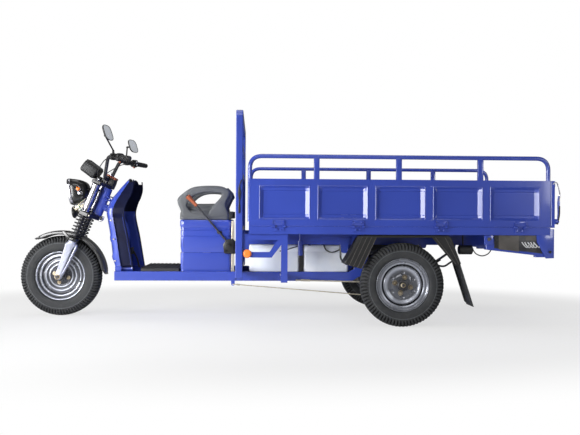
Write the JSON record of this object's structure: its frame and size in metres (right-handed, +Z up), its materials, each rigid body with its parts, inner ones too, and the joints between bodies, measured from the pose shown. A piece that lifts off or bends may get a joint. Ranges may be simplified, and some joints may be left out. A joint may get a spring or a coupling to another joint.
{
  "type": "electric cargo tricycle",
  "caption": "Electric cargo tricycle with a sprung fork, leg shield, box seat, front guard and an open bed with hinged side boards and tailgate.",
  "frame": {"origin": "on the ground under the middle of the overall box", "axes": "+X to the rear of the vehicle, +Y to its right side, +Z up"},
  "size_m": [3.4177, 1.3038, 1.312],
  "materials": {
    "blue_paint": "gloss blue paint",
    "black_paint": "satin black paint",
    "black_plastic": "black moulded plastic",
    "tyre_rubber": "black tyre rubber",
    "rim_silver": "silver grey wheel paint",
    "chrome": "bright chrome",
    "cast_alloy": "cast alloy",
    "dark_steel": "dark painted steel",
    "spring_black": "black spring steel",
    "seat_grey": "grey moulded seat",
    "battery_grey": "light grey plastic case",
    "mat_rubber": "black rubber",
    "liner_dark": "dark navy plastic",
    "rod_zinc": "zinc plated steel"
  },
  "bodies": {
    "chassis": {"frame_rail_left": "blue_paint", "frame_rail_right": "blue_paint", "head_frame": "blue_paint", "floor_pan": "blue_paint", "floor_mat": "mat_rubber", "leg_shield": "blue_paint", "leg_shield_liner": "liner_dark", "seat_box": "blue_paint", "lever_base": "black_plastic", "bed_strut_left": "blue_paint", "bed_strut_right": "blue_paint", "battery_box": "battery_grey", "bed_floor": "blue_paint", "bed_rail_left": "blue_paint", "bed_rail_right": "blue_paint", "front_guard": "blue_paint", "tail_bracket_left": "black_paint", "tail_bracket_right": "black_paint", "mudguard_left": "black_paint", "mudguard_right": "black_paint", "leaf_spring_left": "spring_black", "leaf_spring_right": "spring_black"},
    "steering": {"fork_yokes": "dark_steel", "fork_tube_left": "chrome", "fork_tube_right": "chrome", "fork_spring_left": "spring_black", "fork_spring_right": "spring_black", "handlebar": "chrome", "grip_left": "mat_rubber", "switch_pod_left": "black_plastic", "switch_pod_right": "black_plastic", "headlight": "black_plastic", "instrument_case": "black_plastic"},
    "throttle": {"grip_right": "mat_rubber"},
    "brake_lever_left": {"brake_lever_left": "black_plastic"},
    "brake_lever_right": {"brake_lever_right": "black_plastic"},
    "mirror_left": {"mirror_left": "black_plastic"},
    "mirror_right": {"mirror_right": "black_plastic"},
    "fork_slider": {"fork_leg_left": "cast_alloy", "fork_leg_right": "cast_alloy", "front_axle": "dark_steel", "front_mudguard": "black_paint"},
    "front_wheel": {"front_rim": "rim_silver", "front_tyre": "tyre_rubber"},
    "rear_axle": {"rear_axle": "dark_steel", "drive_motor": "dark_steel"},
    "rear_wheel_left": {"rear_rim_left": "rim_silver", "rear_tyre_left": "tyre_rubber"},
    "rear_wheel_right": {"rear_rim_right": "rim_silver", "rear_tyre_right": "tyre_rubber"},
    "side_board_left": {"side_board_left": "blue_paint"},
    "side_board_right": {"side_board_right": "blue_paint"},
    "tailgate": {"tailgate": "blue_paint"},
    "latch_left": {"latch_left": "dark_steel"},
    "latch_right": {"latch_right": "dark_steel"},
    "seat": {"seat": "seat_grey"},
    "park_lever": {"park_lever": "dark_steel"},
    "brake_crank": {"brake_crank": "blue_paint"},
    "brake_rod": {"brake_rod": "rod_zinc"},
    "brake_pedal": {"brake_pedal": "black_plastic"}
  },
  "joints": [
    {"name": "steering", "type": "hinge", "parent": "chassis", "child": "steering", "pos_m": [-1.20624, 0, 0.67434], "axis": [0.3746, 0, 0.9272], "range_deg": [-40, 40]},
    {"name": "fork_travel", "type": "slide", "parent": "steering", "child": "fork_slider", "axis": [0.3746, 0, 0.9272], "range_m": [-0.02, 0.05], "stiffness_N_per_m": 30000, "springref_m": -0.028, "deforming": ["fork_spring_left", "fork_spring_right"]},
    {"name": "front_wheel_spin", "type": "hinge", "parent": "fork_slider", "child": "front_wheel", "pos_m": [-1.442, 0, 0.267], "axis": [0, 1, 0], "continuous": true},
    {"name": "rear_axle_travel", "type": "slide", "parent": "chassis", "child": "rear_axle", "axis": [0, 0, 1], "range_m": [-0.03, 0.034], "stiffness_N_per_m": 60000, "springref_m": -0.028, "deforming": ["leaf_spring_left", "leaf_spring_right"]},
    {"name": "rear_wheel_spin_left", "type": "hinge", "parent": "rear_axle", "child": "rear_wheel_left", "pos_m": [0.756, -0.55, 0.2575], "axis": [0, 1, 0], "continuous": true},
    {"name": "rear_wheel_spin_right", "type": "hinge", "parent": "rear_axle", "child": "rear_wheel_right", "pos_m": [0.756, 0.55, 0.2575], "axis": [0, 1, 0], "continuous": true},
    {"name": "side_board_left_hinge", "type": "hinge", "parent": "chassis", "child": "side_board_left", "pos_m": [0.7, -0.645, 0.612], "axis": [1, 0, 0], "range_deg": [0, 170]},
    {"name": "side_board_right_hinge", "type": "hinge", "parent": "chassis", "child": "side_board_right", "pos_m": [0.7, 0.645, 0.612], "axis": [-1, 0, 0], "range_deg": [0, 170]},
    {"name": "tailgate_hinge", "type": "hinge", "parent": "chassis", "child": "tailgate", "pos_m": [1.687, 0, 0.612], "axis": [0, 1, 0], "range_deg": [0, 165]},
    {"name": "latch_left_hinge", "type": "hinge", "parent": "tailgate", "child": "latch_left", "pos_m": [1.692, -0.6398, 0.65], "axis": [0, 1, 0], "range_deg": [0, 60]},
    {"name": "latch_right_hinge", "type": "hinge", "parent": "tailgate", "child": "latch_right", "pos_m": [1.692, 0.6398, 0.65], "axis": [0, 1, 0], "range_deg": [0, 60]},
    {"name": "seat_hinge", "type": "hinge", "parent": "chassis", "child": "seat", "pos_m": [-0.632, 0, 0.6483], "axis": [0, -1, 0], "range_deg": [0, 55]},
    {"name": "park_lever_hinge", "type": "hinge", "parent": "chassis", "child": "park_lever", "pos_m": [-0.31, -0.273, 0.49], "axis": [0, -1, 0], "range_deg": [0, 35]},
    {"name": "brake_crank_hinge", "type": "hinge", "parent": "chassis", "child": "brake_crank", "pos_m": [-0.285, -0.3033, 0.285], "axis": [0, -1, 0], "range_deg": [0, 21]},
    {"name": "brake_rod_slide", "type": "slide", "parent": "chassis", "child": "brake_rod", "axis": [1, 0, 0], "range_m": [0, 0.018]},
    {"name": "brake_pedal_hinge", "type": "hinge", "parent": "chassis", "child": "brake_pedal", "pos_m": [-0.945, 0.15, 0.3], "axis": [0, -1, 0], "range_deg": [0, 12], "stiffness_Nm_per_rad": 6, "springref_deg": -5.73},
    {"name": "throttle_twist", "type": "hinge", "parent": "steering", "child": "throttle", "pos_m": [-0.931, 0.37, 1.03], "axis": [0.7308, 0.6736, -0.1101], "range_deg": [0, 60], "stiffness_Nm_per_rad": 0.4, "springref_deg": -11.46},
    {"name": "brake_lever_left_hinge", "type": "hinge", "parent": "steering", "child": "brake_lever_left", "pos_m": [-1.05928, -0.30073, 1.04564], "axis": [0, 0, 1], "range_deg": [0, 12], "stiffness_Nm_per_rad": 0.8, "springref_deg": -5.73},
    {"name": "mirror_left_tilt", "type": "hinge", "parent": "steering", "child": "mirror_left", "pos_m": [-1.08, -0.411, 1.168], "axis": [0, -0.93, 0.3676], "range_deg": [-20, 20]},
    {"name": "brake_lever_right_hinge", "type": "hinge", "parent": "steering", "child": "brake_lever_right", "pos_m": [-1.05928, 0.30073, 1.04564], "axis": [0, 0, -1], "range_deg": [0, 12], "stiffness_Nm_per_rad": 0.8, "springref_deg": -5.73},
    {"name": "mirror_right_tilt", "type": "hinge", "parent": "steering", "child": "mirror_right", "pos_m": [-1.08, 0.411, 1.168], "axis": [0, 0.93, 0.3676], "range_deg": [-20, 20]}
  ],
  "couplings": [
    {"joint": "brake_crank_hinge", "follows": "park_lever_hinge", "ratio": 0.57},
    {"joint": "brake_rod_slide", "follows": "park_lever_hinge", "m_per_rad": 0.0268}
  ]
}
